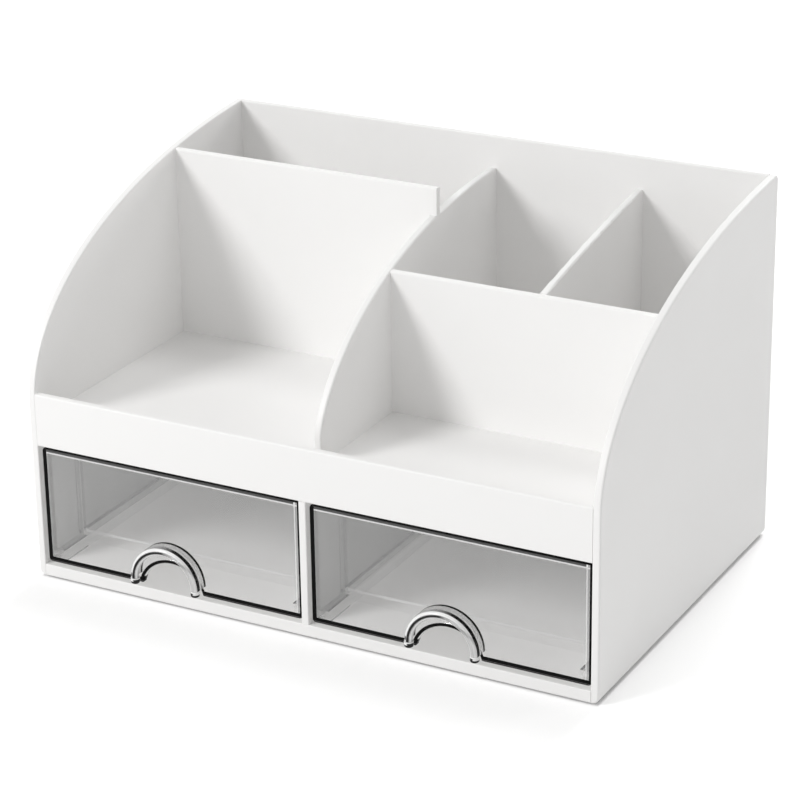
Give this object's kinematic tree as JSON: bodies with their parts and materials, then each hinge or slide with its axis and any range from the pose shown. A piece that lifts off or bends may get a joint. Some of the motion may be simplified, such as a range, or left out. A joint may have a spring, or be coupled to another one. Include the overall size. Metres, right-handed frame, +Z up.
{
  "type": "desktop drawer organizer",
  "caption": "Desktop organizer with arched sides, open compartments and pen pockets above clear sliding drawers.",
  "frame": {"origin": "middle of the bounding box's bottom, on the surface that the feet stand on", "axes": "+Z up, -Y towards the front where the drawers come out, +X to the right seen from the front"},
  "size_m": [0.25, 0.1736, 0.158],
  "materials": {
    "white_plastic": "satin white moulded plastic",
    "clear_plastic": "clear, slightly grey, polished",
    "rubber": "matt, pale grey"
  },
  "bodies": {
    "body": {"left_side_panel": "white_plastic", "right_side_panel": "white_plastic", "back_panel": "white_plastic", "base_panel": "white_plastic", "shelf_panel": "white_plastic", "front_band": "white_plastic", "drawer_partition": "white_plastic", "long_divider": "white_plastic", "rear_partition": "white_plastic", "front_partition": "white_plastic", "pen_divider": "white_plastic", "left_drawer_stop": "white_plastic", "right_drawer_stop": "white_plastic", "front_left_foot": "rubber", "front_right_foot": "rubber", "rear_left_foot": "rubber", "rear_right_foot": "rubber"},
    "left_drawer": {"left_drawer_tray": "clear_plastic", "left_drawer_fascia": "clear_plastic", "left_drawer_pull": "clear_plastic"},
    "right_drawer": {"right_drawer_tray": "clear_plastic", "right_drawer_fascia": "clear_plastic", "right_drawer_pull": "clear_plastic"}
  },
  "joints": [
    {"name": "left_drawer_slide", "type": "slide", "parent": "body", "child": "left_drawer", "axis": [0, -1, 0], "range_m": [0, 0.112]},
    {"name": "right_drawer_slide", "type": "slide", "parent": "body", "child": "right_drawer", "axis": [0, -1, 0], "range_m": [0, 0.112]}
  ]
}
